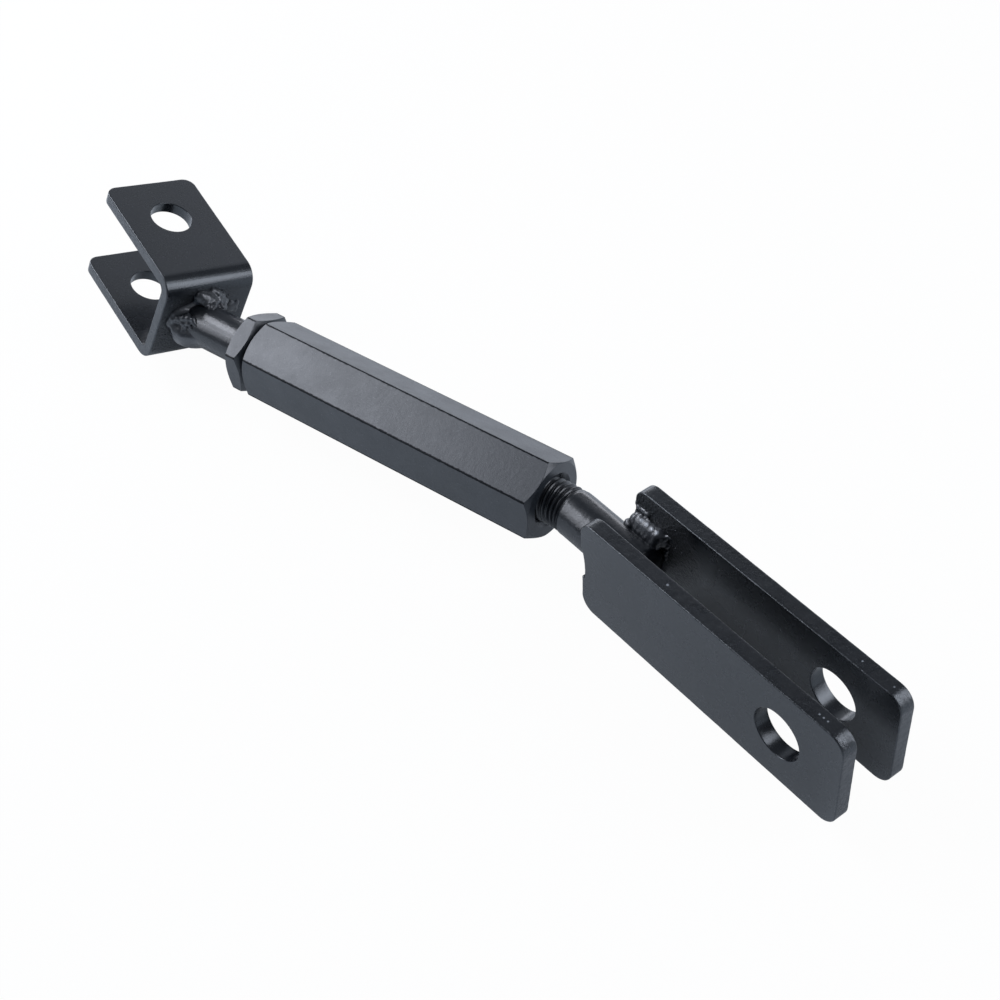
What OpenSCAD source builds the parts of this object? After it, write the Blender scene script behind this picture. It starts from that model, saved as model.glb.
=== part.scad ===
// Adjustable three-point lift link: a hexagonal barrel with a right-hand and a
// left-hand thread joins a two-strap lower clevis to a bent-strip upper bracket.
// Millimetres. The origin is the centre of the lower pin bore, +X runs along the
// barrel towards the lower clevis, and +Z is up, along the height of the straps.

/* [Hex barrel] */
// Length of the hexagonal barrel
barrel_len = 160; // [154:1:200]
// Width across the flats of the hexagon
hex_af = 34; // [31:0.5:40]
// Turn of the hexagon about its own axis
barrel_roll = -2.5; // [-30:0.5:30]
// Radius of the flat ring left on each end face
barrel_face_r = 16.8; // [14.5:0.1:17]
// Depth of the conical end chamfer at the corners
barrel_chamfer = 2; // [1:0.1:4]
// Depth of each tapped end of the bore
tap_depth = 68; // [67:0.5:74]
// Diameter of the plain bore left between the two tapped ends
core_d = 17.5; // [15:0.5:18.5]
// Diameter of the countersink at each mouth
mouth_d = 24.6; // [21:0.2:26]

/* [Threaded rods] */
// Nominal diameter of both threads
thread_d = 20; // [18:0.5:20]
// Radial clearance of a thread in its bore
thread_clear = 0.05; // [0.03:0.01:0.08]
// Diameter of the plain rod
shank_d = 20.6; // [20.2:0.2:21]
// Length of upper rod inside the barrel
upper_engage = 65; // [50:1:66]
// Length of lower rod inside the barrel
lower_engage = 60; // [50:1:66]
// End chamfer of each rod
rod_chamfer = 1.6; // [0.5:0.1:2.5]

/* [Jam nut] */
// Thickness of the jam nut
nut_thick = 10.2; // [8:0.2:12]
// Gap between the jam nut and the end of the barrel
nut_gap = 0.8; // [0.4:0.1:3]
// Radius of the flat ring on each nut face
nut_face_r = 15; // [14:0.1:16.5]
// Depth of the nut's conical chamfers at the corners
nut_chamfer = 2.7; // [1:0.1:3.5]
// Turn of the nut about its own axis
nut_roll = 1.5; // [-30:0.5:30]

/* [Upper bracket] */
// Width of the bent strip
strip_w = 46; // [40:1:60]
// Thickness of the bent strip
strip_t = 5.5; // [4:0.5:7]
// Clear gap between the two ears
ear_gap = 38.5; // [30:0.5:50]
// Inside radius of the two bends
bend_r = 3; // [2:0.5:6]
// Distance from the pin axis to the outer face of the web
ear_reach = 43; // [38:0.5:60]
// Distance from the pin axis to the free end of the ears
ear_tip = 24.2; // [19:0.2:32]
// Corner radius at the free end of the ears
ear_corner_r = 5.5; // [2:0.5:9]
// Diameter of the upper pin bore
upper_bore_d = 19.3; // [16:0.1:22.5]
// Distance from the barrel to the web, along the barrel axis
web_distance = 48.7; // [46:0.1:70]
// Offset of the rod from the middle of the strip, across it
web_offset_w = 5.3; // [0:0.1:7]
// Offset of the rod from the middle of the web's height
web_offset_h = 1.3; // [0:0.1:4]
// Roll of the welded bracket about the rod
bracket_roll = -19; // [-25:0.5:25]
// Tilt of the welded bracket
bracket_tilt = 15; // [0:0.5:18]
// Yaw of the welded bracket
bracket_yaw = -19.5; // [-22:0.5:0]

/* [Lower clevis] */
// Height of each strap
strap_h = 49; // [44:0.5:60]
// Thickness of each strap
strap_t = 6.8; // [5:0.2:10]
// Play between the rod and each strap
strap_play = 0.3; // [0.2:0.05:0.6]
// Distance from the pin axis to the free end of the straps
strap_tip = 31; // [28:0.5:40]
// Distance from the pin axis to the welded end of the straps
strap_tail = 109; // [100:0.5:112]
// Corner radius at the free end of the straps
tip_corner_r = 7.5; // [3:0.5:12]
// Corner radius at the welded end of the straps
tail_corner_r = 7; // [3:0.5:10]
// Diameter of the lower pin bore
lower_bore_d = 22.5; // [19:0.1:26]
// Angle between the straps and the barrel
strap_angle = 14.6; // [0.6:0.2:16]
// Distance from the lower pin axis to the middle of the bend in the rod
bend_reach = 136.8; // [134:0.1:150]
// Distance from the barrel to the middle of the bend in the rod
bend_distance = 9; // [8.6:0.1:16]
// Length of straight thread between the barrel and the bend
bend_start = 2.6; // [1:0.1:2.8]
// Height of the strap centre above the rod
rod_drop = 2.8; // [0:0.1:6]
// Depth of the hollow in the near strap's welded end
hollow_depth = 2; // [0.6:0.1:2.2]
// Radius of that hollow
hollow_r = 40; // [30:1:60]
// Height of the foot of that hollow above the strap's centre line
hollow_foot = -7; // [-12:0.5:-2]
// Length of rod between the straps
rod_overlap = 18.5; // [12:0.5:30]

/* [Welds] */
// Radius of the upper weld where it meets the web
upper_weld_r = 17; // [15:0.5:18.5]
// Height of the upper weld along the rod
upper_weld_h = 11; // [8:0.5:13]
// Radius of the long bead on the far strap
far_bead_r = 5.2; // [4.6:0.1:5.6]
// Height above the rod centre reached by the long bead
far_bead_h = 16.6; // [15:0.2:18]
// Length of the long bead along the far strap
far_bead_len = 20; // [16:0.5:24]
// Radius of the three short beads
short_bead_r = 4; // [3.4:0.1:4.4]
// Height above the rod centre reached by the short beads
short_bead_h = 13.6; // [13:0.1:14.4]
// Length of the short beads
short_bead_len = 16; // [10:0.5:17]

/* [Hidden] */
$fn = 64;
// Facets round one lump of weld
lump_fn = 24;
eps = 0.02;
thread_r = thread_d / 2;
shank_r = shank_d / 2;
tapped_r = thread_r + thread_clear;
hex_r = hex_af / 2 / cos(30);
strap_gap = shank_d + 2 * strap_play;
// Barrel axis and barrel ends in the shared frame
bend_x = -bend_reach * cos(strap_angle);
axis_y = bend_reach * sin(strap_angle);
axis_z = -rod_drop;
lower_end_x = bend_x - bend_distance;
upper_end_x = lower_end_x - barrel_len;
// Circular bend of the lower rod
bend_tangent = bend_distance - bend_start;
bend_radius = bend_tangent / tan(strap_angle / 2);
// The bend is drawn a hair thinner and runs a little way into its neighbours
bent_r = thread_r - 0.05;
bend_lap = 0.3 / bend_radius * 180 / PI;
rod_stop = strap_tail - rod_overlap;
// Blank of the upper rod beyond the web, cut off along it
rod_spare = 0.6 * shank_d;
// Short taper where a thread meets the plain rod, and the play beside it
rod_step = 0.03 * thread_d;
rod_play = 0.02 * thread_d;
// Bent strip seen from its edge
outer_r = bend_r + strip_t;
half_h = ear_gap / 2 + strip_t;
// Side of a cutter that is larger than the bracket
room = strip_w + ear_gap;

// Stand a part drawn along +Z on the barrel axis, starting at x
module on_axis(x) {
    translate([x, axis_y, axis_z])
        rotate([0, 90, 0])
            children();
}

// Hexagonal bar with a conical chamfer at both ends
module chamfered_hex(length, roll, face_r, chamfer) {
    intersection() {
        rotate([0, 0, roll])
            cylinder(h = length, r = hex_r, $fn = 6);
        union() {
            cylinder(h = chamfer, r1 = face_r, r2 = hex_r + 0.01);
            translate([0, 0, chamfer])
                cylinder(h = length - 2 * chamfer, r = hex_r + 0.01);
            translate([0, 0, length - chamfer])
                cylinder(h = chamfer, r1 = hex_r + 0.01, r2 = face_r);
        }
    }
}

// Countersink at both mouths of a bore
module mouths(length, d, r) {
    depth = (d / 2 - r) * 0.8;
    translate([0, 0, -eps])
        cylinder(h = depth + eps, r1 = d / 2, r2 = r);
    translate([0, 0, length - depth])
        cylinder(h = depth + eps, r1 = r, r2 = d / 2);
}

module hex_barrel() {
    color("#4a5058")
        on_axis(upper_end_x)
            difference() {
                chamfered_hex(barrel_len, barrel_roll, barrel_face_r, barrel_chamfer);
                translate([0, 0, -1])
                    cylinder(h = barrel_len + 2, r = core_d / 2);
                translate([0, 0, -1])
                    cylinder(h = tap_depth + 1, r = tapped_r);
                translate([0, 0, barrel_len - tap_depth])
                    cylinder(h = tap_depth + 1, r = tapped_r);
                mouths(barrel_len, mouth_d, tapped_r);
            }
}

module jam_nut() {
    color("#4a5058")
        on_axis(upper_end_x - nut_gap - nut_thick)
            difference() {
                chamfered_hex(nut_thick, nut_roll, nut_face_r, nut_chamfer);
                translate([0, 0, -1])
                    cylinder(h = nut_thick + 2, r = tapped_r);
                mouths(nut_thick, mouth_d, tapped_r);
            }
}

// Place children drawn in the bracket's own frame: its origin is the centre of
// the upper pin bore, x runs towards the web and z along the pin
module in_bracket() {
    translate([upper_end_x - web_distance, axis_y, axis_z])
        rotate([bracket_roll, bracket_tilt, bracket_yaw])
            translate([-ear_reach, web_offset_w, -web_offset_h])
                children();
}

// Everything on the ears' side of the web's outer face
module behind_web() {
    in_bracket()
        translate([ear_reach - room, -room, -room])
            cube([room, 2 * room, 2 * room]);
}

module upper_rod() {
    thread_from = upper_end_x - nut_gap - nut_thick - rod_play;
    color("#3c424a")
        difference() {
            union() {
                on_axis(thread_from)
                    cylinder(h = upper_end_x + upper_engage - thread_from - rod_chamfer, r = thread_r);
                on_axis(upper_end_x + upper_engage - rod_chamfer)
                    cylinder(h = rod_chamfer, r1 = thread_r, r2 = thread_r - rod_chamfer);
                on_axis(upper_end_x - web_distance - rod_spare)
                    cylinder(h = thread_from - rod_step - upper_end_x + web_distance + rod_spare, r = shank_r);
                on_axis(thread_from - rod_step)
                    cylinder(h = rod_step, r1 = shank_r, r2 = thread_r);
            }
            behind_web();
        }
}

// Edge view of the bent strip: x towards the web, y along the pin
module strip_profile() {
    difference() {
        union() {
            translate([-ear_tip, -half_h])
                square([ear_tip + ear_reach - outer_r, 2 * half_h]);
            translate([ear_reach - outer_r, -half_h + outer_r])
                square([outer_r, 2 * (half_h - outer_r)]);
            for (side = [-1, 1])
                translate([ear_reach - outer_r, side * (half_h - outer_r)])
                    circle(r = outer_r);
        }
        translate([-ear_tip - 1, -ear_gap / 2])
            square([ear_tip + 1 + ear_reach - strip_t - bend_r, ear_gap]);
        translate([ear_reach - outer_r - 1, -ear_gap / 2 + bend_r])
            square([bend_r + 1, ear_gap - 2 * bend_r]);
        for (side = [-1, 1])
            translate([ear_reach - outer_r, side * (ear_gap / 2 - bend_r)])
                circle(r = bend_r);
    }
}

// What a rounded corner removes from a square one; the corner is at the origin
// and the material lies towards +x and +y
module corner_cut(r, h) {
    translate([0, 0, -h / 2])
        difference() {
            translate([-1, -1, 0])
                cube([r + 1, r + 1, h]);
            translate([r, r, -1])
                cylinder(h = h + 2, r = r);
        }
}

module upper_bracket() {
    color("#3a4048")
        in_bracket()
            difference() {
                translate([0, strip_w / 2, 0])
                    rotate([90, 0, 0])
                        linear_extrude(height = strip_w)
                            strip_profile();
                cylinder(h = 3 * half_h, r = upper_bore_d / 2, center = true);
                translate([-ear_tip, -strip_w / 2, 0])
                    corner_cut(ear_corner_r, 3 * half_h);
                translate([-ear_tip, strip_w / 2, 0])
                    mirror([0, 1, 0])
                        corner_cut(ear_corner_r, 3 * half_h);
            }
}

// Lumpy fillet all round the upper rod where it meets the web
module upper_weld() {
    lumps = 9;
    back = upper_weld_r / 2;
    waist_r = shank_r + 0.2 * upper_weld_r;
    waist_h = 0.55 * upper_weld_h;
    color("#333940")
        difference() {
            translate([upper_end_x - web_distance, axis_y, axis_z])
                rotate([bracket_roll, bracket_tilt * 0.55, bracket_yaw * 0.55])
                    rotate([0, 90, 0])
                        union() {
                            translate([0, 0, -back])
                                cylinder(h = back, r = upper_weld_r);
                            cylinder(h = waist_h, r1 = upper_weld_r, r2 = waist_r);
                            translate([0, 0, waist_h])
                                cylinder(h = upper_weld_h - waist_h, r1 = waist_r, r2 = shank_r + rod_step);
                            for (i = [0 : lumps - 1])
                                rotate([0, 0, i * 360 / lumps + 12 * sin(i * 140)])
                                    translate([shank_r + 0.14 * upper_weld_r, 0,
                                               upper_weld_h * (0.18 + 0.15 * sin(i * 97))])
                                        sphere(r = upper_weld_r * (0.25 + 0.04 * cos(i * 151)), $fn = lump_fn);
                        }
            on_axis(upper_end_x - web_distance - 2 * rod_spare)
                cylinder(h = 4 * rod_spare, r = shank_r + eps);
            translate([eps, 0, 0])
                behind_web();
        }
}

// Place children drawn in the clevis frame: x along the straps towards their
// free end, y towards the far strap, z up
module in_clevis() {
    rotate([0, 0, -strap_angle])
        children();
}

module lower_rod() {
    straight = bend_start + lower_engage;
    after_bend = bend_reach - bend_tangent - rod_stop;
    color("#3c424a") {
        on_axis(lower_end_x - lower_engage)
            cylinder(h = rod_chamfer, r1 = thread_r - rod_chamfer, r2 = thread_r);
        on_axis(lower_end_x - lower_engage + rod_chamfer)
            cylinder(h = straight - rod_chamfer, r = thread_r);
        translate([lower_end_x + bend_start, axis_y - bend_radius, axis_z])
            rotate([0, 0, 90 - strap_angle - bend_lap])
                rotate_extrude(angle = strap_angle + 2 * bend_lap)
                    translate([bend_radius, 0])
                        circle(r = bent_r);
        in_clevis()
            translate([-bend_reach + bend_tangent, 0, axis_z])
                rotate([0, 90, 0]) {
                    cylinder(h = rod_step, r1 = thread_r, r2 = shank_r);
                    translate([0, 0, rod_step])
                        cylinder(h = after_bend - rod_step - rod_chamfer, r = shank_r);
                    translate([0, 0, after_bend - rod_chamfer])
                        cylinder(h = rod_chamfer, r1 = shank_r, r2 = shank_r - rod_chamfer);
                }
    }
}

// One strap of the clevis in the clevis frame, its inner face at y = 0 and its
// thickness towards +y
module strap() {
    difference() {
        translate([-strap_tail, 0, -strap_h / 2])
            cube([strap_tail + strap_tip, strap_t, strap_h]);
        rotate([90, 0, 0])
            cylinder(h = 3 * strap_t, r = lower_bore_d / 2, center = true);
        for (side = [-1, 1]) {
            translate([strap_tip, 0, side * strap_h / 2])
                mirror([1, 0, 0])
                    mirror([0, 0, side > 0 ? 1 : 0])
                        rotate([90, 0, 0])
                            corner_cut(tip_corner_r, 3 * strap_t);
            translate([-strap_tail, 0, side * strap_h / 2])
                mirror([0, 0, side > 0 ? 1 : 0])
                    rotate([90, 0, 0])
                        corner_cut(tail_corner_r, 3 * strap_t);
        }
    }
}

module far_strap() {
    color("#3a4048")
        in_clevis()
            translate([0, strap_gap / 2, 0])
                strap();
}

module near_strap() {
    color("#3a4048")
        in_clevis()
            translate([0, -strap_gap / 2, 0])
                mirror([0, 1, 0])
                    difference() {
                        strap();
                        // shallow hollow with a step at its foot, left where the end was cut
                        intersection() {
                            translate([-strap_tail + hollow_depth - hollow_r, 0, hollow_foot + 0.1 * strap_h])
                                rotate([90, 0, 0])
                                    cylinder(h = 3 * strap_t, r = hollow_r, center = true);
                            translate([-strap_tail - strap_t, -strap_t, hollow_foot])
                                cube([3 * strap_t, 3 * strap_t, strap_h]);
                        }
                    }
}

// What the far strap and the rod take away from a bead between them, in the
// clevis frame
module strap_and_rod() {
    translate([-strap_tail, strap_gap / 2 - eps, -strap_h])
        cube([strap_tail + strap_tip, strap_h, 2 * strap_h]);
    translate([-strap_tail - bend_distance, 0, axis_z])
        rotate([0, 90, 0])
            cylinder(h = bend_distance + rod_overlap + eps, r = shank_r + eps);
}

// Run of weld in the groove above the rod: lumps along a flatter bar; reach is
// its height above the rod centre
module run_of_weld(start, length, r, reach) {
    count = floor(length / r);
    face = strap_gap / 2 - eps;
    translate([start, 0, 0])
        rotate([90, 0, 90])
            linear_extrude(height = length)
                polygon([[face, reach - 2 * r], [face, reach - 0.08 * r], [face - 0.4 * r, reach - 0.1 * r],
                         [face - 0.8 * r, reach - 0.5 * r], [face - 1.1 * r, reach - r],
                         [face - 1.1 * r, reach - 1.5 * r]]);
    for (i = [0 : count])
        translate([start + i * length / count, face - r * (0.3 - 0.04 * sin(40 + i * 130)),
                   reach - r * (0.92 - 0.04 * cos(i * 75))])
            sphere(r = r * (0.9 + 0.04 * sin(i * 110)), $fn = lump_fn);
}

// Long bead: it starts in front of the strap's end, follows the rod and turns
// down past the end of the rod
module far_top_bead() {
    r = far_bead_r;
    mid_h = far_bead_h - r;
    face = strap_gap / 2;
    rod_end = -rod_stop;
    color("#333940")
        in_clevis()
            difference() {
                translate([0, 0, axis_z])
                    union() {
                        run_of_weld(-strap_tail + 0.2 * r, far_bead_len - 0.8 * r, r, far_bead_h);
                        translate([-strap_tail - 0.27 * r, face - 0.23 * r, mid_h - 0.54 * r])
                            sphere(r = 0.9 * r, $fn = lump_fn);
                        translate([-strap_tail - 0.65 * r, face - 0.58 * r, mid_h - 0.62 * r])
                            sphere(r = 0.66 * r, $fn = lump_fn);
                        for (i = [0 : 4])
                            translate([rod_end + r * (0.27 + 0.33 * sin(35 * i)), face - 0.13 * r,
                                       mid_h + r * (0.08 - 0.56 * i)])
                                sphere(r = r * (0.76 - 0.055 * i), $fn = lump_fn);
                    }
                strap_and_rod();
            }
}

// Short bead, drawn for the far strap above the rod
module short_bead() {
    difference() {
        translate([0, 0, axis_z])
            run_of_weld(-strap_tail + 1.2 * short_bead_r, short_bead_len - 2 * short_bead_r,
                        short_bead_r, short_bead_h);
        strap_and_rod();
    }
}

// Short bead on the other side of the rod
module below_rod() {
    translate([0, 0, 2 * axis_z])
        mirror([0, 0, 1])
            children();
}

module far_bottom_bead() {
    color("#333940")
        in_clevis()
            below_rod()
                short_bead();
}

module near_top_bead() {
    color("#333940")
        in_clevis()
            mirror([0, 1, 0])
                short_bead();
}

module near_bottom_bead() {
    color("#333940")
        in_clevis()
            mirror([0, 1, 0])
                below_rod()
                    short_bead();
}

hex_barrel();
jam_nut();
upper_rod();
upper_bracket();
upper_weld();
lower_rod();
near_strap();
far_strap();
far_top_bead();
far_bottom_bead();
near_top_bead();
near_bottom_bead();
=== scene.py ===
import math
import random

import bmesh
import bpy
from mathutils import Matrix, Vector, noise


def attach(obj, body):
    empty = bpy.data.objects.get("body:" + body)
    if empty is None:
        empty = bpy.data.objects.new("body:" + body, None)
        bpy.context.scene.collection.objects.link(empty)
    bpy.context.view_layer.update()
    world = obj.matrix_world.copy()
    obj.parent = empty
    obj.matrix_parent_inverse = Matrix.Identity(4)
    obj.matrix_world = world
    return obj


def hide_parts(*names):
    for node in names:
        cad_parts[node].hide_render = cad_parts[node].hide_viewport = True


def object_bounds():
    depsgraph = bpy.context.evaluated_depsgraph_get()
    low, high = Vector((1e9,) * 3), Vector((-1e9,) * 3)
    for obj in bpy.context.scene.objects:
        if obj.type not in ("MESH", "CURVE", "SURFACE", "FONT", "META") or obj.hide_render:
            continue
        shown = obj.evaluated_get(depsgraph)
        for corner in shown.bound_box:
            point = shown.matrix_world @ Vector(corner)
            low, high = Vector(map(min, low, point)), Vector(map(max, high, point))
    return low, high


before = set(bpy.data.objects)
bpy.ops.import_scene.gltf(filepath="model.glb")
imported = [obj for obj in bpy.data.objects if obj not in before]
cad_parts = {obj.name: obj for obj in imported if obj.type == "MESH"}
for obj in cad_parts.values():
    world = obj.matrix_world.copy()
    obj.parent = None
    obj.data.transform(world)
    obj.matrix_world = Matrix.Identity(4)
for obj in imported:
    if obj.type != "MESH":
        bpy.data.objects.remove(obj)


def plain(bounds):
    return [[float(c) for c in corner] for corner in bounds]


cad_box = plain(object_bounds())
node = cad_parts
MM = 0.001

# Sizes as in the CAD source, in millimetres
STRAP_ANGLE = math.radians(14.6)
BEND_REACH, BEND_DISTANCE, BEND_START = 136.8, 9.0, 2.6
BARREL_LEN, HEX_AF = 160.0, 34.0
PITCH, THREAD_R, SHANK_R, THREAD_DEPTH = 2.5, 10.0, 10.3, 1.38
ROD_DROP, STRAP_GAP, STRAP_T, STRAP_H = 2.8, 21.2, 6.8, 49.0
STRAP_TAIL, STRAP_TIP, ROD_OVERLAP = 109.0, 31.0, 18.5
TIP_R, TAIL_R, LOWER_BORE_R = 7.5, 7.0, 11.25
HOLLOW_R, HOLLOW_DEPTH, HOLLOW_FOOT = 40.0, 2.0, -7.0
HEX_CORNER = HEX_AF / math.sqrt(3)
AXIS_Y = BEND_REACH * math.sin(STRAP_ANGLE)
AXIS_Z = -ROD_DROP
LOWER_END = -BEND_REACH * math.cos(STRAP_ANGLE) - BEND_DISTANCE
UPPER_END = LOWER_END - BARREL_LEN
NUT_GAP, NUT_THICK = 0.8, 10.2
ROD_CHAMFER, UPPER_ROD_HIDDEN, LOWER_ROD_HIDDEN = 1.6, 65.0, 60.0
WEB_DISTANCE, EAR_REACH, EAR_TIP, WEB_W, WEB_H = 48.7, 43.0, 24.2, 5.3, 1.3
STRIP_W, STRIP_T, EAR_GAP, BEND_R, EAR_CORNER_R, UPPER_BORE_R = 46.0, 5.5, 38.5, 3.0, 5.5, 9.65

# The two tilted frames: the bracket's (x to the web, z along the pin) and the clevis's
# (x to the free end, y to the far strap)
B_ROT = (
    Matrix.Rotation(math.radians(-19.5), 3, "Z")
    @ Matrix.Rotation(math.radians(15), 3, "Y")
    @ Matrix.Rotation(math.radians(-19), 3, "X")
)
B_HIT = Vector((UPPER_END - WEB_DISTANCE, AXIS_Y, AXIS_Z))
C_ROT = Matrix.Rotation(-STRAP_ANGLE, 3, "Z")


def from_bracket(p):
    return B_HIT + B_ROT @ (Vector(p) + Vector((-EAR_REACH, WEB_W, -WEB_H)))


def from_clevis(p):
    return C_ROT @ Vector(p)


def smooth(a, b, x):
    """0 at a, 1 at b, with soft ends."""
    t = min(max((x - a) / (b - a), 0.0), 1.0)
    return t * t * (3 - 2 * t)


def rough_at(p, octaves):
    """Soft noise of about -1 to 1 at a point in millimetres."""
    return noise.fractal(Vector(p), 0.9, 2.1, octaves, noise_basis="PERLIN_ORIGINAL")


# Materials
# the darkest paint is scorch beside the welds and painted shade on the web below the upper weld
# the pale paint is steel showing at specks, scratches and nicks, and painted highlights on the welds
PALE_WEAR_AND_HIGHLIGHT, SCORCH_AND_SHADE_PAINT, CORNER_LINE_DARK = "#9aa1a8", "#07080a", "#101418"
NEUTRAL, BLUISH = (0.92, 0.96, 1.0), (0.85, 0.93, 1.0)


def linear(h):
    """#rrggbb as linear rgba."""
    v = [int(h[i:i + 2], 16) / 255 for i in (1, 3, 5)]
    return tuple(c / 12.92 if c <= 0.04045 else ((c + 0.055) / 1.055) ** 2.4 for c in v) + (1.0,)


def paint(name, colour, light, rough, ior, coat, grain=0.1, wave=0.12, specks=0.3, rare=0.71,
          scorch_and_shade=(), nicks_and_highlights=(), crease=0.0, tint=NEUTRAL):
    """Black paint on steel: mottled colour, uneven gloss, orange peel, grain and pale worn specks.

    rare is how seldom the specks come. scorch_and_shade holds (point in mm, radius in mm): the paint is
    dark and rough round these, as scorch beside a weld and as painted shade on the web below the upper
    weld. nicks_and_highlights holds the same for small pale spots: nicks knocked through to the steel,
    and painted highlights on the weld paint. crease is the distance of a hexagon's corners from the
    axis, in mm: a dark line with little gloss is drawn along them.
    """
    m = bpy.data.materials.new(name)
    m.use_nodes = True
    nt = m.node_tree
    nd, ln = nt.nodes, nt.links
    bsdf = nd["Principled BSDF"]
    bsdf.inputs["IOR"].default_value = ior
    bsdf.inputs["Specular Tint"].default_value = (*tint, 1)
    bsdf.inputs["Coat Weight"].default_value = coat
    bsdf.inputs["Coat Roughness"].default_value = 0.12
    co = nd.new("ShaderNodeTexCoord")

    def field(size, detail, lo, hi, to=(0.0, 1.0), stretch=None):
        """Noise of this size, with lo to hi carried to the range to; stretch is (scale, turn)."""
        n = nd.new("ShaderNodeTexNoise")
        n.inputs["Scale"].default_value = size
        n.inputs["Detail"].default_value = detail
        n.inputs["Roughness"].default_value = 0.55
        src = co.outputs["Object"]
        if stretch:
            mp = nd.new("ShaderNodeMapping")
            mp.inputs["Scale"].default_value = stretch[0]
            mp.inputs["Rotation"].default_value = stretch[1]
            ln.new(src, mp.inputs["Vector"])
            src = mp.outputs["Vector"]
        ln.new(src, n.inputs["Vector"])
        r = nd.new("ShaderNodeMapRange")
        r.inputs["From Min"].default_value = lo
        r.inputs["From Max"].default_value = hi
        r.inputs["To Min"].default_value = to[0]
        r.inputs["To Max"].default_value = to[1]
        ln.new(n.outputs["Fac"], r.inputs["Value"])
        return r.outputs["Result"]

    def math_node(op, a, b):
        n = nd.new("ShaderNodeMath")
        n.operation = op
        for k, v in enumerate((a, b)):
            if isinstance(v, (int, float)):
                n.inputs[k].default_value = v
            else:
                ln.new(v, n.inputs[k])
        return n.outputs[0]

    def blend(fac, a, b):
        n = nd.new("ShaderNodeMix")
        n.data_type = "RGBA"
        ln.new(fac, n.inputs[0])
        for k, v in ((6, a), (7, b)):
            if isinstance(v, tuple):
                n.inputs[k].default_value = v
            else:
                ln.new(v, n.inputs[k])
        return n.outputs[2]

    def ball(point, radius, inner):
        """1 inside the inner share of the radius round a point in mm, 0 outside the radius."""
        d = nd.new("ShaderNodeVectorMath")
        d.operation = "DISTANCE"
        ln.new(co.outputs["Object"], d.inputs[0])
        d.inputs[1].default_value = Vector(point) * MM
        f = nd.new("ShaderNodeMapRange")
        f.interpolation_type = "SMOOTHSTEP"
        f.inputs["From Min"].default_value = radius * MM
        f.inputs["From Max"].default_value = inner * radius * MM
        ln.new(d.outputs["Value"], f.inputs["Value"])
        return f.outputs["Result"]

    # how close a point is to one of the dark points, scorch beside a weld and painted shade below the
    # upper weld; 1 beside it and 0 away from it
    near = None
    for point, radius in scorch_and_shade:
        f = ball(point, radius, 0.6)
        near = f if near is None else math_node("MAXIMUM", near, f)

    mottled = blend(field(38, 4, 0.3, 0.7), linear(colour), linear(light))
    if near is not None:
        # dark round these points: scorch beside the welds, painted shade on the lower web
        mottled = blend(math_node("MULTIPLY", near, 0.75), mottled, linear(SCORCH_AND_SHADE_PAINT))
    worn = field(2300, 1, rare, rare + 0.05, (0.0, specks))
    scratch = field(150, 2, 0.735, 0.76, (0.0, specks), ((1.0, 26.0, 26.0), (0.2, 0.35, 0.6)))
    pale_marks = math_node("MAXIMUM", worn, scratch)
    # small pale spots: nicks knocked through to the steel, and on the weld paint painted highlights
    for point, radius in nicks_and_highlights:
        pale_marks = math_node("MAXIMUM", pale_marks, math_node("MULTIPLY", ball(point, radius, 0.5), 0.9))
    base = blend(pale_marks, mottled, linear(PALE_WEAR_AND_HIGHLIGHT))

    gloss = field(95, 5, 0.3, 0.7, rough)
    if near is not None:
        gloss = math_node("ADD", gloss, math_node("MULTIPLY", near, 0.15))
    ln.new(gloss, bsdf.inputs["Roughness"])

    if crease:
        # distance from the barrel's axis, slightly wavy
        out = nd.new("ShaderNodeVectorMath")
        out.operation = "MULTIPLY_ADD"
        ln.new(co.outputs["Object"], out.inputs[0])
        out.inputs[1].default_value = (0, 1, 1)
        out.inputs[2].default_value = (0, -AXIS_Y * MM, -AXIS_Z * MM)
        size = nd.new("ShaderNodeVectorMath")
        size.operation = "LENGTH"
        ln.new(out.outputs["Vector"], size.inputs[0])
        wavy = math_node("ADD", size.outputs["Value"], field(500, 3, 0.3, 0.7, (-0.00008, 0.00008)))
        line = nd.new("ShaderNodeMapRange")
        line.inputs["From Min"].default_value = (crease - 0.36) * MM
        line.inputs["From Max"].default_value = (crease - 0.22) * MM
        line.inputs["To Min"].default_value = 0.5
        line.inputs["To Max"].default_value = 0.04
        ln.new(wavy, line.inputs["Value"])
        ln.new(line.outputs["Result"], bsdf.inputs["Specular IOR Level"])
        # a dark line with little gloss along the hexagon's corners
        dark = math_node("SUBTRACT", 1.0, math_node("MULTIPLY", line.outputs["Result"], 2.0))
        base = blend(dark, base, linear(CORNER_LINE_DARK))
    ln.new(base, bsdf.inputs["Base Color"])

    peel = field(420, 2, 0.0, 1.0, (0.0, wave))
    fine = field(2600, 2, 0.0, 1.0, (0.0, grain * 0.25))
    height = math_node("ADD", peel, fine)
    if near is not None:
        scale = math_node("MULTIPLY", near, field(900, 4, 0.3, 0.8, (0.0, 1.2)))
        height = math_node("ADD", height, scale)
    bump = nd.new("ShaderNodeBump")
    bump.inputs["Strength"].default_value = 1.0
    bump.inputs["Distance"].default_value = 0.0004
    ln.new(height, bump.inputs["Height"])
    ln.new(bump.outputs["Normal"], bsdf.inputs["Normal"])
    return m


FAR_WELD = from_clevis((-98, STRAP_GAP / 2, 8))
# a point on the web below the upper weld: the plate paint darkened round it is painted shade
LOWER_WEB_SHADE = from_bracket((EAR_REACH, -10, -11))
TOP_EDGE, STRAP_MID = STRAP_H / 2, (STRAP_GAP + STRAP_T) / 2
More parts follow.
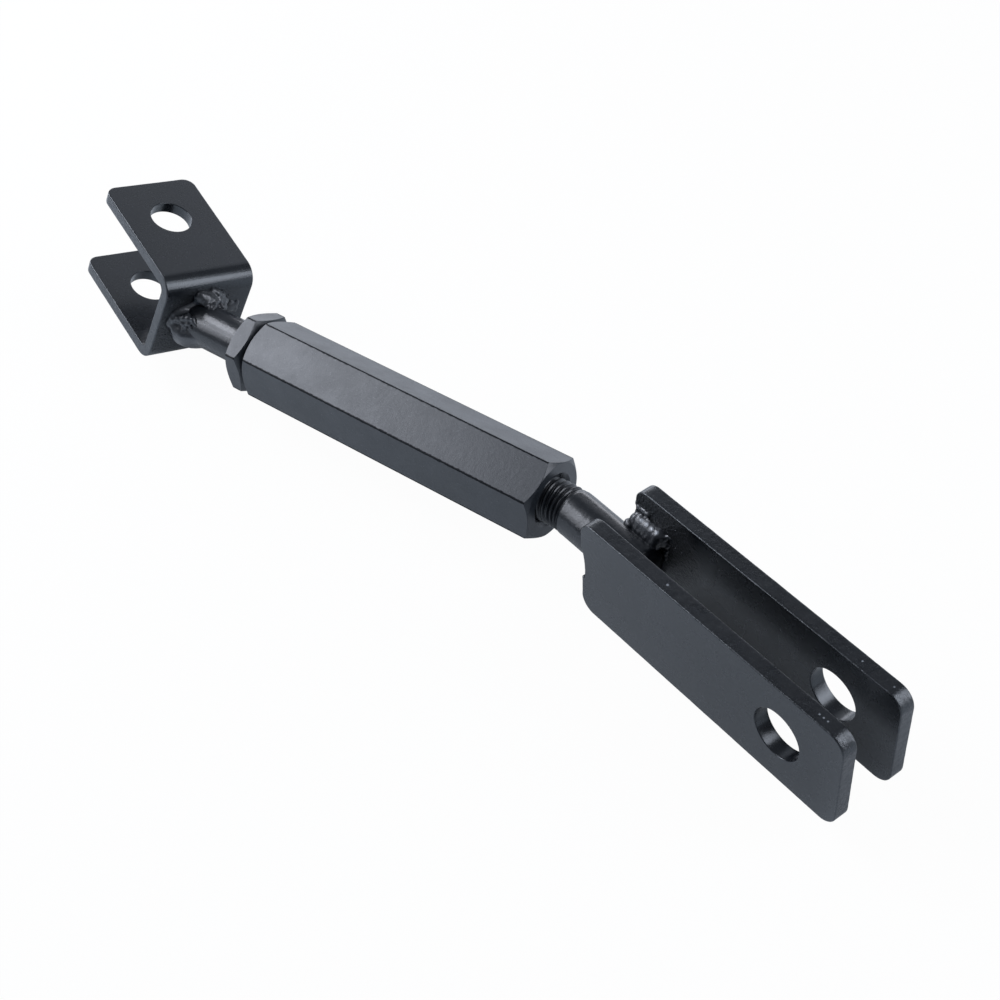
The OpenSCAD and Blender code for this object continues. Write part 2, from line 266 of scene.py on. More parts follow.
# Nicks, as (point, radius) in mm: one a third of the way along the near strap's top edge from the
# barrel's side, three in a row before its rounded corner, two on its lower outer edge, and two on
# the far strap's top edge
CHIPS = [(from_clevis((STRAP_TIP - (STRAP_TIP + STRAP_TAIL) * 2 / 3, -STRAP_MID, TOP_EDGE)), 0.7)]
CHIPS += [(from_clevis((STRAP_TIP - TIP_R - 4 - 2 * k, -STRAP_MID, TOP_EDGE)), 0.5) for k in range(3)]
CHIPS += [(from_clevis((STRAP_TIP - TIP_R - 8 * k, -STRAP_MID - STRAP_T / 2, -TOP_EDGE)), 0.6)
          for k in range(2)]
CHIPS += [(from_clevis((STRAP_TIP - TIP_R - 15 * k, STRAP_MID, TOP_EDGE)), 0.5) for k in range(2)]
# Painted highlights, drawn as pale spots, as (point, radius) in mm: on the upper weld round a
# point at the web beside its large lump, and along the far bead's crest
LUMP_FOOT = B_HIT + Vector((5.0, 3.0, SHANK_R + 2.0))
PAINTED_HIGHLIGHTS = [(LUMP_FOOT, 4.0)]
PAINTED_HIGHLIGHTS += [(from_clevis((-102.5 + 3 * k, STRAP_GAP / 2 - 2.5, AXIS_Z + 15)), 1.3) for k in range(4)]
M_BARREL = paint("barrel paint", "#1f2429", "#282d33", (0.34, 0.44), 1.65, coat=0.05, crease=HEX_CORNER)
M_NUT = paint("nut paint", "#1f2429", "#282d33", (0.32, 0.42), 1.65, coat=0.05, crease=HEX_CORNER)
M_ROD = paint("rod paint", "#16191d", "#1e2227", (0.26, 0.34), 1.55, coat=0.15, wave=0.3)
M_PLATE = paint("plate paint", "#0e1115", "#13161b", (0.25, 0.30), 1.67, coat=0.1, wave=0.05,
                scorch_and_shade=((FAR_WELD, 31), (B_HIT, 22), (LOWER_WEB_SHADE, 21)), nicks_and_highlights=CHIPS, tint=BLUISH)
M_EDGE = paint("cut edge paint", "#0a0b0e", "#131519", (0.23, 0.34), 1.70, coat=0.05, grain=0.9,
               wave=0.4, specks=0.14, rare=0.64, nicks_and_highlights=CHIPS, tint=BLUISH)
# the weld paint's pale spots are painted highlights
M_WELD = paint("weld paint", "#14171b", "#20242a", (0.30, 0.42), 1.8, coat=0.1, grain=0.3,
               wave=0.25, specks=0.4, rare=0.68, nicks_and_highlights=PAINTED_HIGHLIGHTS)


# Mesh helpers
def link(me, name, body, mats, replaced=()):
    """A smooth object of this mesh that rides on its body, in the place of the nodes replaced."""
    o = bpy.data.objects.new(name, me)
    bpy.context.scene.collection.objects.link(o)
    for m in mats:
        me.materials.append(m)
    for p in me.polygons:
        p.use_smooth = True
    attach(o, body)
    if replaced:
        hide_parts(*replaced)
    return o


def applied(o, kind, **settings):
    """Apply one modifier to the object's mesh."""
    md = o.modifiers.new(kind.lower(), kind)
    for key, value in settings.items():
        setattr(md, key, value)
    dg = bpy.context.evaluated_depsgraph_get()
    dg.update()
    me = bpy.data.meshes.new_from_object(o.evaluated_get(dg))
    o.modifiers.clear()
    me.name = o.name
    o.data = me
    return o


def dressed(name, body, mats, bevel):
    """A copy of a CAD node with its facets joined to faces and its edges rounded by bevel mm."""
    flat, sharp = 0.02, math.radians(22)
    me = node[name].data.copy()
    me.materials.clear()
    bm = bmesh.new()
    bm.from_mesh(me)
    bmesh.ops.remove_doubles(bm, verts=bm.verts, dist=1e-6)
    bmesh.ops.dissolve_limit(bm, angle_limit=flat, use_dissolve_boundaries=False,
                             verts=bm.verts, edges=bm.edges)
    bm.to_mesh(me)
    bm.free()
    o = link(me, name + "_shell", body, mats, (name,))
    applied(o, "BEVEL", width=bevel * MM, segments=3, limit_method="ANGLE", angle_limit=sharp,
            miter_outer="MITER_ARC")
    for p in o.data.polygons:
        p.use_smooth = True
    return applied(o, "WEIGHTED_NORMAL", weight=80, keep_sharp=True)


def tube_mesh(name, rows):
    """A closed tube through rows of points in mm, each row a ring with the same count."""
    n = len(rows[0])
    verts = [tuple(c * MM for c in p) for row in rows for p in row]
    faces = []
    for i in range(len(rows) - 1):
        for j in range(n):
            k = (j + 1) % n
            faces.append((i * n + j, i * n + k, (i + 1) * n + k, (i + 1) * n + j))
    last = (len(rows) - 1) * n
    faces.append(tuple(range(n - 1, -1, -1)))
    faces.append(tuple(last + j for j in range(n)))
    me = bpy.data.meshes.new(name)
    me.from_pydata(verts, [], faces)
    me.update()
    return me


# Plates cut from strip, with slightly uneven edges
EDGE_STEP = 0.9


def arc(cx, cy, r, a0, a1, n):
    """Points on an arc, angles in degrees."""
    angles = [math.radians(a0 + (a1 - a0) * i / n) for i in range(n + 1)]
    return [(cx + r * math.cos(a), cy + r * math.sin(a)) for a in angles]


def even(points):
    """The closed outline again, with points about EDGE_STEP apart."""
    out = []
    for (x0, y0), (x1, y1) in zip(points, points[1:] + points[:1]):
        k = max(1, round(math.hypot(x1 - x0, y1 - y0) / EDGE_STEP))
        out += [(x0 + (x1 - x0) * i / k, y0 + (y1 - y0) * i / k) for i in range(k)]
    return out


def plate(name, outline, holes, thick, place, body, mats, node_name, seed, uneven=0.22, folds=()):
    """A flat plate in its own plane, then carried to 3-D by place(x, y, depth below the top face).

    holes holds (x, y, radius), seed starts the edge's noise, uneven is its depth in mm, and the
    mesh is cut at each x in folds, where the plate is bent.
    """
    roll, hole_roll = 0.55, 0.35
    bm = bmesh.new()

    def ring(points, inset, depth, edge, sign):
        """One loop of vertices, pushed in from the outline by inset and by the edge's unevenness."""
        vs = []
        n = len(points)
        for i, (x, y) in enumerate(points):
            ax, ay = points[i - 1]
            bx, by = points[(i + 1) % n]
            tx, ty = bx - ax, by - ay
            tl = math.hypot(tx, ty) or 1
            nx, ny = ty / tl * sign, -tx / tl * sign
            if edge:
                w = 0.5 + 0.5 * rough_at((x * 0.09 + seed, y * 0.09, 0), 3)
                f = 0.5 + 0.5 * rough_at((x * 0.7 + seed, y * 0.7, depth * 0.35), 3)
                inset_here = inset + uneven * (0.7 * w + 0.5 * f)
            else:
                inset_here = inset
            vs.append(bm.verts.new((x - nx * inset_here, y - ny * inset_here, depth)))
        return vs

    def wall(points, edge, r, sign):
        """The side of the plate along one outline, its two rims rounded by r."""
        steps = [(r * (1 - math.sin(a)), r * (1 - math.cos(a)))
                 for a in (0, math.pi / 6, math.pi / 3, math.pi / 2)]
        rows = steps + [(0, thick * k / 5) for k in (1, 2, 3, 4)]
        rows += [(i, thick - d) for i, d in reversed(steps)]
        loops = [ring(points, i, d, edge, sign) for i, d in rows]
        n = len(points)
        for a, b in zip(loops, loops[1:]):
            for j in range(n):
                k = (j + 1) % n
                f = bm.faces.new((a[j], a[k], b[k], b[j]) if sign < 0 else (a[k], a[j], b[j], b[k]))
                f.material_index = 1 if edge else 0
        return loops[0], loops[-1]

    tops, bottoms = [], []
    rims = [(outline, True, roll, 1)]
    rims += [(arc(cx, cy, hr, 0, 360, 96)[:-1], False, hole_roll, -1) for cx, cy, hr in holes]
    for points, edge, r, sign in rims:
        a, b = wall(points, edge, r, sign)
        tops.append(a)
        bottoms.append(b)
    for loops in (tops, bottoms):
        edges = []
        for lp in loops:
            for j in range(len(lp)):
                edges.append(bm.edges.get((lp[j], lp[(j + 1) % len(lp)])))
        bmesh.ops.triangle_fill(bm, use_beauty=True, edges=edges)
    for x in folds:
        geom = bm.verts[:] + bm.edges[:] + bm.faces[:]
        bmesh.ops.bisect_plane(bm, geom=geom, dist=1e-5, plane_co=(x, 0, 0), plane_no=(1, 0, 0))
    for v in bm.verts:
        v.co = place(v.co.x, v.co.y, v.co.z) * MM
    bmesh.ops.recalc_face_normals(bm, faces=bm.faces)
    me = bpy.data.meshes.new(name)
    bm.to_mesh(me)
    bm.free()
    o = link(me, name, body, mats, (node_name,))
    return applied(o, "WEIGHTED_NORMAL", weight=90, keep_sharp=False)


def strap_outline(hollow):
    """Anticlockwise outline of a strap, x to the free end and y up."""
    h = STRAP_H / 2
    pts = arc(STRAP_TIP - TIP_R, -h + TIP_R, TIP_R, -90, 0, 14)
    pts += arc(STRAP_TIP - TIP_R, h - TIP_R, TIP_R, 0, 90, 14)
    pts += arc(-STRAP_TAIL + TAIL_R, h - TAIL_R, TAIL_R, 90, 180, 14)
    if hollow:
        cx, cy = -STRAP_TAIL + HOLLOW_DEPTH - HOLLOW_R, HOLLOW_FOOT + 0.1 * STRAP_H
        top = math.degrees(math.acos((HOLLOW_R - HOLLOW_DEPTH) / HOLLOW_R))
        foot = math.degrees(math.asin((HOLLOW_FOOT - cy) / HOLLOW_R))
        pts += arc(cx, cy, HOLLOW_R, top, foot, 12)
        pts.append((-STRAP_TAIL + 0.3, HOLLOW_FOOT - 0.2))
    pts += arc(-STRAP_TAIL + TAIL_R, -h + TAIL_R, TAIL_R, 180, 270, 14)
    return even(pts)


def strap(name, node_name, far, seed):
    """One of the two straps; only the near one has the hollow in its upper end."""
    face = STRAP_GAP / 2 if far else -STRAP_GAP / 2 - STRAP_T

    def place(x, y, depth):
        return from_clevis((x, face + depth, y))

    return plate(name, strap_outline(not far), [(0, 0, LOWER_BORE_R)], STRAP_T, place, "lower_clevis",
                 [M_PLATE, M_EDGE], node_name, seed)


def bracket():
    """The U, drawn flat as one strip and then bent twice."""
    outer = BEND_R + STRIP_T
    mid = BEND_R + STRIP_T / 2
    half = EAR_GAP / 2 + STRIP_T
    ear = EAR_TIP + EAR_REACH - outer
    bend = mid * math.pi / 2
    web = 2 * (half - outer)
    total = 2 * ear + 2 * bend + web

    def place(s, w, depth):
        if s > total / 2:
            # the lower half mirrors the upper one
            p = place(total - s, w, depth)
            return p + B_ROT @ Vector((0, 0, -2 * (B_ROT.transposed() @ (p - from_bracket((0, 0, 0)))).z))
        if s <= ear:
            q = (s - EAR_TIP, w, half - depth)
        elif s <= ear + bend:
            a = (s - ear) / mid
            r = outer - depth
            q = (EAR_REACH - outer + r * math.sin(a), w, half - outer + r * math.cos(a))
        else:
            q = (EAR_REACH - depth, w, half - outer - (s - ear - bend))
        return from_bracket(q)

    w = STRIP_W / 2
    r = EAR_CORNER_R
    pts = arc(total - r, -w + r, r, -90, 0, 10) + arc(total - r, w - r, r, 0, 90, 10)
    pts += arc(r, w - r, r, 90, 180, 10) + arc(r, -w + r, r, 180, 270, 10)
    steps = 18
    folds = [ear + bend * k / steps for k in range(steps + 1)]
    folds += [total - f for f in folds]
    holes = [(EAR_TIP, 0, UPPER_BORE_R), (total - EAR_TIP, 0, UPPER_BORE_R)]
    return plate("upper_bracket_shape", even(pts), holes, STRIP_T, place, "upper_end",
                 [M_PLATE, M_EDGE], "upper_bracket", 5.0, uneven=0.16, folds=folds)


# Rods with cut threads
def thread_depth(turns):
    """Depth below the crest, 0 to 1, at this fraction of a pitch."""
    crest_end, root_start, root_end, flank = 0.16, 0.52, 0.64, 0.36
    f = turns % 1.0
    if f < crest_end:
        return 0.0
    if f < root_start:
        return (f - crest_end) / flank
    if f < root_end:
        return 1.0
    return (1.0 - f) / flank


def spaced(marks):
    """Stations between (from, to, step) marks, each end once."""
    out = []
    for a, b, step in marks:
        k = max(1, round((b - a) / step))
        out += [a + (b - a) * i / k for i in range(k)]
    out.append(marks[-1][1])
    return out


def rod_mesh(name, path, stations, radius, segs=80):
    """path(s) gives the centre and two cross directions; radius(s, angle) the radius and a shift."""
    rows = []
    for s in stations:
        c, u, v = path(s)
        row = []
        for j in range(segs):
            a = 2 * math.pi * j / segs
            r, shift = radius(s, a)
            row.append(c + (u * math.cos(a) + v * math.sin(a)) * r + shift)
        rows.append(row)
    return tube_mesh(name, rows)


def upper_rod():
    """From the web of the bracket to its hidden end in the barrel; s is the distance along X."""
    thread_from = UPPER_END - NUT_GAP - NUT_THICK - 0.4
    tip = UPPER_END + UPPER_ROD_HIDDEN
    start = UPPER_END - WEB_DISTANCE
    web = B_ROT @ Vector((1, 0, 0))

    def path(s):
        return Vector((s, AXIS_Y, AXIS_Z)), Vector((0, 1, 0)), Vector((0, 0, 1))

    def radius(s, a):
        shift = Vector((0, 0, 0))
        r = SHANK_R - 0.02 - 0.04 * (0.5 + 0.5 * rough_at((s * 0.2, math.cos(a), math.sin(a)), 2))
        if s > thread_from - 0.6:
            r = THREAD_R
            cut = thread_depth(s / PITCH + a / (2 * math.pi))
            r -= THREAD_DEPTH * cut * smooth(thread_from - 0.4, thread_from + 3.5, s)
            if tip - s < ROD_CHAMFER:
                r = min(r, THREAD_R - ROD_CHAMFER + tip - s)
        if s < start + 12:
            # the cut end follows the tilted web
            off = Vector((0, math.cos(a), math.sin(a))) * r
            need = -(web.y * off.y + web.z * off.z) / web.x
            shift = Vector((need * (1 - smooth(start, start + 12, s)), 0, 0))
        return r, shift

    stations = spaced([(start, start + 12, 2), (start + 12, thread_from - 0.6, 2),
                       (thread_from - 0.6, tip - ROD_CHAMFER, 0.25), (tip - ROD_CHAMFER, tip, 0.4)])
    me = rod_mesh("upper_rod_shape", path, stations, radius)
    return link(me, "upper_rod_shape", "upper_end", [M_ROD], ["upper_rod"])


def lower_rod():
    """From its hidden end in the barrel, round the bend, to its end between the straps.

    s is the distance along the rod from the barrel's mouth.
    """
    start = -LOWER_ROD_HIDDEN
    run_out = 11.5
    tangent = BEND_DISTANCE - BEND_START
    bend_radius = tangent / math.tan(STRAP_ANGLE / 2)
    arc_end_s = BEND_START + bend_radius * STRAP_ANGLE
    total = arc_end_s + (BEND_REACH - tangent) - (STRAP_TAIL - ROD_OVERLAP)
    centre = Vector((LOWER_END + BEND_START, AXIS_Y - bend_radius, AXIS_Z))
    arc_end = centre + Vector((math.sin(STRAP_ANGLE), math.cos(STRAP_ANGLE), 0)) * bend_radius
    along = C_ROT @ Vector((1, 0, 0))
    across = C_ROT @ Vector((0, 1, 0))

    def path(s):
        if s <= BEND_START:
            return Vector((LOWER_END + s, AXIS_Y, AXIS_Z)), Vector((0, 1, 0)), Vector((0, 0, 1))
        if s < arc_end_s:
            t = (s - BEND_START) / bend_radius
            d = Vector((math.sin(t), math.cos(t), 0))
            return centre + d * bend_radius, d, Vector((0, 0, 1))
        return arc_end + along * (s - arc_end_s), across, Vector((0, 0, 1))

    def radius(s, a):
        cut = thread_depth(-s / PITCH + a / (2 * math.pi) + 0.1)
        r = THREAD_R - 0.03 + (SHANK_R - THREAD_R + 0.01) * smooth(run_out - 0.8, run_out + 0.6, s)
        r -= THREAD_DEPTH * cut * (1 - smooth(run_out - 2.2, run_out, s))
        if s > run_out:
            r -= 0.08 * (0.5 + 0.5 * rough_at((s * 0.25, 1.3 * math.cos(a), 1.3 * math.sin(a)), 2))
        chamfered = min(r, THREAD_R - ROD_CHAMFER + s - start, SHANK_R - ROD_CHAMFER + total - s)
        return chamfered, Vector((0, 0, 0))

    stations = spaced([(start, start + ROD_CHAMFER, 0.4), (start + ROD_CHAMFER, run_out + 0.75, 0.25),
                       (run_out + 0.75, total - ROD_CHAMFER, 1.2), (total - ROD_CHAMFER, total, 0.4)])
    me = rod_mesh("lower_rod_shape", path, stations, radius)
    return link(me, "lower_rod_shape", "lower_clevis", [M_ROD], ["lower_rod"])


def balls(name, lumps, scale=1.0):
    """One mesh of ellipsoids, each (centre, three radii)."""
    bm = bmesh.new()
    bmesh.ops.create_icosphere(bm, subdivisions=2, radius=1.0)
    unit = [v.co.copy() for v in bm.verts]
    corners = [[v.index for v in f.verts] for f in bm.faces]
    bm.free()
    verts, faces = [], []
    for c, radii in lumps:
        n = len(verts)
        verts += [[(c[k] + v[k] * radii[k]) * scale for k in range(3)] for v in unit]
        faces += [[n + i for i in f] for f in corners]
    me = bpy.data.meshes.new(name)
    me.from_pydata(verts, [], faces)
    me.update()
    return me


# Welds: lumps and fillets melted together
def melt(name, body, node_name, lumps, frame_of, calm=(), keep=None, settle=12, bumps=0.17):
    """Fuse ellipsoids ((centre, radii) in a local frame) to one skin, then roughen it.

    frame_of carries a local point to the part's frame, calm holds (point, radius) of smooth patches and
    keep(p) clamps a finished point. settle counts the smoothing steps and bumps is the height of
    the roughness in mm.
    """
    voxel, pits = 0.33, 1.5 * bumps
    o = link(balls(name, lumps), name, body, [M_WELD], [node_name])
    applied(o, "REMESH", mode="VOXEL", voxel_size=voxel, use_smooth_shade=True)
    applied(o, "SMOOTH", factor=0.5, iterations=settle)
    me = o.data
    seed = len(name)
    normals = [v.normal.copy() for v in me.vertices]
    for v, n in zip(me.vertices, normals):
        p = v.co
        rough = 1.0
        for c, r in calm:
            rough = min(rough, smooth(0.7 * r, 1.15 * r, (p - c).length))
        d = bumps * (0.2 + 0.8 * rough) * rough_at(p * 0.4 + Vector((seed, 0, 0)), 4)
        d -= pits * rough * max(0.0, rough_at(p * 0.35 + Vector((3, seed, 1)), 2) - 0.22)
        q = p + n * d
        if keep:
            q = keep(q)
        v.co = frame_of(q) * MM
    me.update()
    return o


def upper_weld():
    rng = random.Random(4)
    axis = B_ROT.transposed() @ Vector((1, 0, 0))
    foot = Vector((EAR_REACH, -WEB_W, WEB_H))

    def on_rod(degrees, along, out):
        """Point in the bracket's frame: angle round the rod from up, towards the near side."""
        a = math.radians(degrees)
        side = B_ROT.transposed() @ Vector((0, -math.sin(a), math.cos(a)))
        base = foot + side * SHANK_R
        base -= axis * ((base.x - EAR_REACH) / axis.x)
        return base + axis * along + (side - Vector((side.x, 0, 0))) * out

    lumps = []
    for i in range(72):
        deg = i * 5
        a = math.radians(deg)
        # a long smooth swelling on the near lower side, a rough low run elsewhere, little on top
        swell = smooth(66, 92, deg) * (1 - smooth(215, 250, deg))
        top = smooth(18, 45, deg) * (1 - smooth(335, 350, deg))
        wob = rough_at((2.3 * math.cos(a), 2.3 * math.sin(a), 4.0), 2)
        leg = 1.0 + 3.6 * smooth(125, 170, deg)
        reach = 15.5 * swell + (1 - swell) * (1.6 + top * (4.6 + 1.6 * wob))
        steps = 18 if swell > 0.3 else 8
        for k in range(steps + 1):
            t = k / steps
            hump = 3.3 * smooth(0, 0.35, t) * (1 - smooth(0.5, 1.0, t))
            smooth_rise = leg * (1 - smooth(0, 0.5, t)) + hump
            rough_rise = (1.2 + 2.6 * top + 0.8 * wob) * (1 - t)
            r = 2.0 - 0.3 * t + (1 - swell) * rng.uniform(-0.3, 0.1)
            out = smooth_rise * swell + rough_rise * (1 - swell) - r
            lumps.append((on_rod(deg, reach * t + 0.2, out + 0.35 * (1 - t)), (r, r, r)))
    # (angle, along the rod, out from it, size): crest where two passes meet, the large smooth
    # lump, the small ones beyond it and the lumpy far side
    crest = ((58, 1.5, 2.0, 1.8), (52, 3.5, 1.8, 1.9), (46, 5.5, 1.2, 1.9), (42, 7.5, 0.8, 1.8),
             (40, 9.5, 0.4, 1.6), (46, 11.0, 0.1, 1.4), (54, 9.0, 0.4, 1.5), (58, 6.5, 0.8, 1.7),
             (62, 11.3, -0.2, 1.1), (36, 6.0, 1.0, 1.4), (66, 8.0, 0.2, 1.4), (50, 12.6, -0.3, 1.0))
    large = ((345, 0.8, 4.0, 3.4), (326, 2.8, 1.8, 3.6), (340, 3.4, 1.4, 3.2))
    small = ((345, 7.8, 0.5, 1.5), (350, 6.2, 0.5, 1.2), (338, 8.8, 0.0, 1.2),
             (352, 8.8, -0.2, 1.0), (332, 7.2, 0.7, 1.5), (347, 10.0, -0.3, 0.9))
    beyond = ((316, 0.8, 6.4, 2.6), (305, 0.6, 6.8, 2.4), (296, 1.8, 4.6, 2.8),
              (310, 3.2, 3.4, 2.5), (322, 4.8, 1.8, 2.0), (286, 0.8, 6.4, 2.0),
              (324, 0.2, 7.4, 1.5), (284, 3.4, 2.6, 2.4), (300, 6.2, 1.0, 1.8))
    for deg, along, out, r in crest + large + small + beyond:
        lumps.append((on_rod(deg, along, out), (r, r, r)))
    lumps.append((on_rod(336, 1.4, 2.8), (4.4, 5.4, 4.0)))
    # the smear on the web beyond the weld: place on the web and two radii
    smear = ((14.8, 4.4, 3.0, 3.6), (17.0, 6.2, 1.8, 3.2), (13.4, 8.0, 1.8, 1.8), (17.6, 2.8, 1.3, 2.2))
    for w, h, rw, rh in smear:
        lumps.append(((EAR_REACH, w, h), (0.7, rw, rh)))
    calm = [(on_rod(336, 2.0, 3.5), 9.0), (on_rod(140, 7.0, 0), 13.0), (on_rod(185, 7.0, 1.0), 12.0),
            (Vector((EAR_REACH, 16, 5)), 7.0)]
    return melt("upper_weld_bead", "upper_end", "upper_weld", lumps, from_bracket, calm,
                settle=16, bumps=0.09)


def groove_bead(name, node_name, far, above, lumps):
    """Bead between rod and strap, drawn in the clevis frame for the far strap above the rod."""

    def place(p):
        y = p.y if far else -p.y
        z = AXIS_Z + (p.z if above else -p.z)
        return from_clevis((p.x, y, z))

    def keep(p):
        if p.x > -STRAP_TAIL:
            p.y = min(p.y, STRAP_GAP / 2 + 0.5)
        return p

    calm = [(Vector((x, STRAP_GAP / 2 - 2, z)), r) for x, z, r in
            ((-109.5, 8.5, 5.0), (-104.5, 12.0, 4.5), (-99.5, 12.5, 3.5))]
    return melt(name, "lower_clevis", node_name, lumps, place, calm, keep)


def ripple_lumps(x0, x1, pitch, y, z, size, rng):
    """Flat overlapping lumps like a run of weld ripples."""
    out = []
    n = max(2, round((x1 - x0) / pitch))
    for i in range(n + 1):
        x = x0 + (x1 - x0) * i / n
        s = size * rng.uniform(0.97, 1.02)
        out.append(((x, y + rng.uniform(-0.1, 0.1), z + rng.uniform(-0.15, 0.15)), (0.8 * s, s, s)))
    return out


def lower_welds():
    face = STRAP_GAP / 2
    rng = random.Random(11)
    # a smooth band against the strap, with a narrow toe down to the rod
    far = []
    for y, z, size, pitch in ((-0.2, 11.2, 4.2, 0.4), (-1.6, 9.4, 3.4, 0.4), (-3.0, 7.2, 2.6, 0.4)):
        far += ripple_lumps(-104.4, -93.6, pitch, face + y, z, size, rng)
    # a smaller pass above it on the strap
    far += ripple_lumps(-106.6, -101.0, 1.2, face + 0.4, 17.2, 1.6, rng)
    far.append(((-108.2, face + 2.0, 18.4), (1.5, 2.6, 2.2)))
    # a smooth nose in front of the strap's end
    far += [((-107.0, face - 0.6, 10.0), (3.4, 3.4, 3.6)), ((-109.0, face - 2.4, 7.6), (3.2, 2.4, 2.2)),
            ((-108.6, face + 2.2, 7.6), (1.6, 3.2, 3.0)), ((-108.2, face + 1.8, 13.0), (1.5, 2.4, 2.6))]
    # the run ends in a ring round a crater, and a little of it comes down past the rod
    ring = ((-92.4, -1.2, 9.6, 2.6), (-91.2, -0.4, 12.4, 1.9), (-89.6, 0.0, 13.5, 1.4),
            (-88.0, 0.2, 14.0, 1.2), (-87.0, 0.2, 12.6, 1.2), (-87.4, 0.2, 10.9, 1.1),
            (-88.8, 0.1, 9.6, 1.2), (-90.3, -0.2, 8.4, 1.5), (-89.9, -0.3, 6.0, 1.3),
            (-90.4, -0.6, 3.9, 1.3), (-90.0, -0.8, 1.8, 1.1), (-88.3, 0.3, 7.4, 0.8))
    for x, y, z, r in ring:
        far.append(((x, face + y + 0.6, z), (r, r, r)))
    groove_bead("far_top_weld", "far_top_bead", True, True, far)
    hidden = (("far_bottom_weld", "far_bottom_bead", True, False),
              ("near_top_weld", "near_top_bead", False, True),
              ("near_bottom_weld", "near_bottom_bead", False, False))
    for name, node_name, is_far, above in hidden:
        run = ripple_lumps(-104.6, -95.2, 2.1, face - 1.0, 9.9, 3.6, rng)
        groove_bead(name, node_name, is_far, above, run)


def spatter(name, body, points):
    """Small balls of weld spatter: (centre, radius) in mm."""
    me = balls(name, [(c, (r, r, r)) for c, r in points], MM)
    return link(me, name, body, [M_WELD])


def all_spatter():
    """Spatter on the web round the upper weld and on the far strap beside its bead."""
    rng = random.Random(7)
    pts = []
    for _ in range(60):
        w, h = rng.uniform(-20, 20), rng.uniform(-13, 17)
        d = math.hypot(w + WEB_W, h - WEB_H)
        if 14.5 < d < 21:
            pts.append((from_bracket((EAR_REACH, w, h)), rng.uniform(0.18, 0.5)))
    spatter("upper_spatter", "upper_end", pts)
    pts = []
    for _ in range(45):
        x, z = rng.gauss(-95, 7), rng.gauss(10, 6)
        if -107 < x < -70 and -12 < z < 22:
            pts.append((from_clevis((x, STRAP_GAP / 2, z)), rng.uniform(0.15, 0.36)))
    spatter("lower_spatter", "lower_clevis", pts)


dressed("hex_barrel", "barrel", [M_BARREL], 0.8)
dressed("jam_nut", "jam_nut", [M_NUT], 0.6)
strap("near_strap_shape", "near_strap", False, 2.0)
strap("far_strap_shape", "far_strap", True, 9.0)
bracket()
upper_rod()
lower_rod()
upper_weld()
lower_welds()
all_spatter()


# Floor, backdrop and lamps
FLOOR_SIZE, FLOOR_GAP = 12, 0.0002
FLOOR_SEEN, FLOOR_MIRRORED = 0.97, 0.12
WORLD_SEEN, WORLD_MIRRORED = 1.0, 0.15


def plain_white(nodes, links, surface, emission, output, seen, mirrored):
    """Mix in plain white, one share for rays from the camera or through glass, one for reflections."""
    ray = nodes.new("ShaderNodeLightPath")
    total = None
    shares = (("Is Camera Ray", seen), ("Is Glossy Ray", mirrored), ("Is Transmission Ray", seen))
    for kind, share in shares:
        part = nodes.new("ShaderNodeMath")
        part.operation = "MULTIPLY_ADD"
        links.new(ray.outputs[kind], part.inputs[0])
        part.inputs[1].default_value = share
        part.inputs[2].default_value = 0.0
        if total:
            links.new(total.outputs[0], part.inputs[2])
        total = part
    mix = nodes.new("ShaderNodeMixShader")
    links.new(total.outputs[0], mix.inputs["Fac"])
    links.new(surface, mix.inputs[1])
    links.new(emission, mix.inputs[2])
    links.new(mix.outputs[0], output)


lowest = min(p[2] for p in cad_box)
bpy.ops.mesh.primitive_plane_add(size=FLOOR_SIZE, location=(0, 0, lowest - FLOOR_GAP))
floor = bpy.context.object
floor.name = "floor"
fm = bpy.data.materials.new("floor")
fm.use_nodes = True
nt = fm.node_tree
bs = nt.nodes["Principled BSDF"]
bs.inputs["Base Color"].default_value = (0.88, 0.95, 1.0, 1)
bs.inputs["Roughness"].default_value = 0.9
bs.inputs["Specular IOR Level"].default_value = 0.1
em = nt.nodes.new("ShaderNodeEmission")
plain_white(nt.nodes, nt.links, bs.outputs[0], em.outputs[0],
            nt.nodes["Material Output"].inputs["Surface"], FLOOR_SEEN, FLOOR_MIRRORED)
floor.data.materials.append(fm)

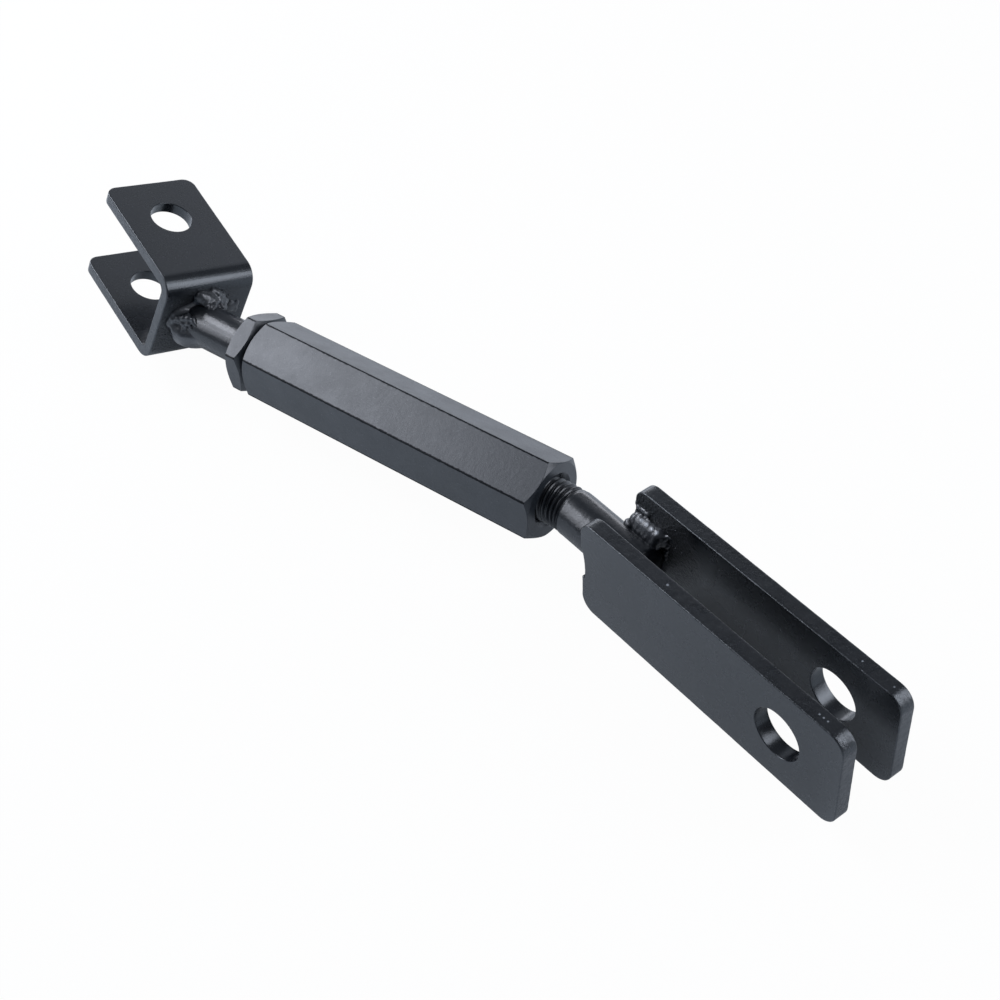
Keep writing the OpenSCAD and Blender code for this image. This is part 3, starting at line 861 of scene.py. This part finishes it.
world = bpy.context.scene.world or bpy.data.worlds.new("world")
bpy.context.scene.world = world
world.use_nodes = True
wn = world.node_tree
bg = wn.nodes["Background"]
bg.inputs["Color"].default_value = (0.40, 0.60, 1.0, 1)
bg.inputs["Strength"].default_value = 0.06
wbg = wn.nodes.new("ShaderNodeBackground")
wbg.inputs["Color"].default_value = (1, 1, 1, 1)
plain_white(wn.nodes, wn.links, bg.outputs[0], wbg.outputs[0],
            wn.nodes["World Output"].inputs["Surface"], WORLD_SEEN, WORLD_MIRRORED)


LAMP_DISTANCE, LAMP_COLOUR = 1.2, (0.92, 0.93, 1.0)


def area(name, azimuth, elevation, size, power):
    """A soft box that faces the middle of the object; azimuth 0 is +X and 90 is +Y."""
    mid = Vector((-0.18, 0.0, 0.0))
    a, e = math.radians(azimuth), math.radians(elevation)
    toward = Vector((math.cos(a) * math.cos(e), math.sin(a) * math.cos(e), math.sin(e)))
    loc = mid + toward * LAMP_DISTANCE
    d = bpy.data.lights.new(name, "AREA")
    d.shape = "RECTANGLE"
    d.size, d.size_y = size
    d.energy = power
    d.color = LAMP_COLOUR
    o = bpy.data.objects.new(name, d)
    bpy.context.scene.collection.objects.link(o)
    o.location = loc
    o.rotation_euler = (mid - loc).to_track_quat("-Z", "Y").to_euler()
    return o


lamps = [
    area("left", 180, 36, (0.44, 0.52), 7.6),
    area("left front", 206, 45, (0.42, 0.56), 3.1),
    area("front low", 216, 27, (0.36, 0.50), 1.9),
    area("right high", 28, 46, (0.42, 0.38), 2.1),
    area("right", 28, 21, (0.50, 0.75), 5.0),
    area("back low", 121, 6, (1.50, 0.30), 4.0),
    area("back", 114, 32, (0.80, 0.36), 0.42),
]

# Camera, as fitted to the photograph: its place in metres and its angles in degrees
CAMERA_PLACE = (0.16677, -0.35553, 0.49814)
CAMERA_TILT, CAMERA_ROLL, CAMERA_TURN = 44.8032, 3.0258, 37.7508
cam = bpy.data.cameras.new("camera")
cam.sensor_width = 36
cam.lens = 62.017
cam.clip_start = 0.01
eye = bpy.data.objects.new("camera", cam)
bpy.context.scene.collection.objects.link(eye)
eye.location = CAMERA_PLACE
eye.rotation_euler = [math.radians(a) for a in (CAMERA_TILT, CAMERA_ROLL, CAMERA_TURN)]
bpy.context.scene.camera = eye
bpy.context.scene.view_settings.view_transform = "Standard"
